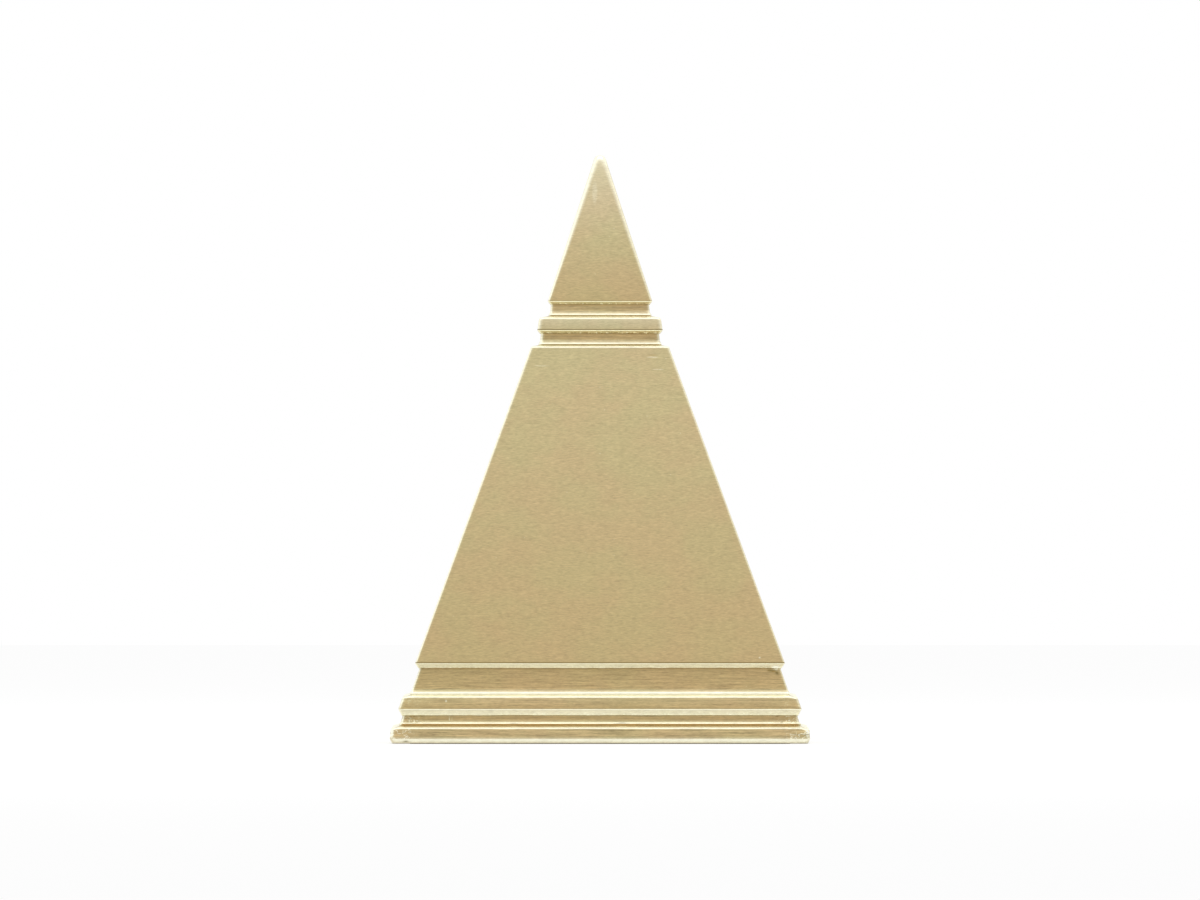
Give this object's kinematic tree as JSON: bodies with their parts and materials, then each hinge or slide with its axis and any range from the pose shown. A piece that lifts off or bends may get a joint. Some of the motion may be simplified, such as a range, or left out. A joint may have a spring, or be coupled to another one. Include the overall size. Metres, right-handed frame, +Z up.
{
  "type": "metal pyramid ornament",
  "caption": "Slender square pyramid of brushed brass with grooved bands and a pointed cap, drawn together by a rod inside; stands as a shelf or altar ornament.",
  "frame": {"origin": "centre of the face that the ornament rests on, the felt pad's underside", "axes": "+Z up along the tie rod to the tip; X and Y square to the faces"},
  "size_m": [0.127, 0.127, 0.1782],
  "materials": {
    "brushed_brass": "pale gold, brushed level round all four sides, hand filed edges, satin",
    "rough_brass": "as cast, dull, bright only where it is machined",
    "zinc_plated_steel": "zinc plated, slightly dull",
    "spring_steel": "blued and oiled",
    "brass_sheet": "rolled sheet, unpolished",
    "screw_brass": "turned, bright",
    "dark_felt": "pressed wool felt"
  },
  "bodies": {
    "root": {"cap": "brushed_brass", "collar": "brushed_brass", "body": "brushed_brass", "lower_band": "brushed_brass", "plinth": "brushed_brass", "spider": "rough_brass", "tie_rod": "zinc_plated_steel", "lock_nut": "zinc_plated_steel", "flat_washer": "zinc_plated_steel", "spring_washer": "spring_steel", "clamp_nut": "zinc_plated_steel", "cover_plate": "brass_sheet", "cover_screw_1": "screw_brass", "cover_screw_2": "screw_brass", "cover_screw_3": "screw_brass", "cover_screw_4": "screw_brass", "felt_pad": "dark_felt"}
  },
  "joints": []
}
